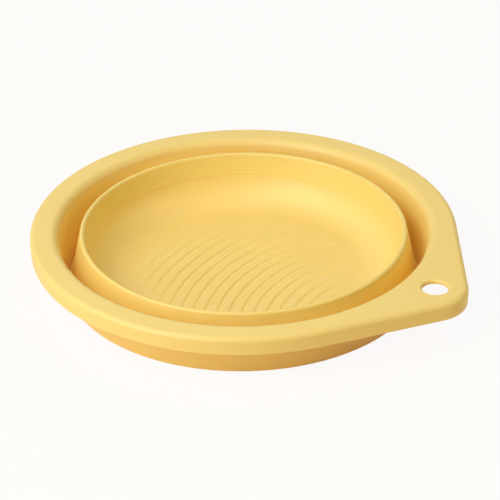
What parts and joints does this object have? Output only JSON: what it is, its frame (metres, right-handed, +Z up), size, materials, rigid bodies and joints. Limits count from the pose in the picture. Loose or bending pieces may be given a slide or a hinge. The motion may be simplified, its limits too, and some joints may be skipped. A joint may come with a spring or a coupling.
{
  "type": "collapsible basin",
  "caption": "Round collapsible wash basin, folded flat, with a flat skirted rim, a corner tab with a hang hole, a nested soft folding wall and a ribbed floor for hand washing.",
  "frame": {"origin": "on the basin's axis, at the underside of the base dish, on the table", "axes": "+X from the axis towards the hang tab, +Z up along the axis, out of the basin's mouth"},
  "size_m": [0.2944, 0.27, 0.037],
  "materials": {
    "stiff_plastic": "moulded polypropylene, warm yellow, fine matte",
    "soft_wall": "moulded thermoplastic rubber, warm yellow, matte"
  },
  "bodies": {
    "base_body": {"base_dish": "stiff_plastic", "inner_wall": "soft_wall"},
    "fold_body": {"folding_wall": "soft_wall"},
    "rim_body": {"rim": "stiff_plastic", "outer_wall": "soft_wall"}
  },
  "joints": [
    {"name": "unfold", "type": "slide", "parent": "base_body", "child": "rim_body", "axis": [0, 0, 1], "range_m": [0, 0.065]},
    {"name": "fold_follow", "type": "slide", "parent": "base_body", "child": "fold_body", "axis": [0, 0, 1], "range_m": [0, 0.0325]}
  ],
  "couplings": [
    {"joint": "fold_follow", "follows": "unfold", "ratio": 0.5}
  ]
}
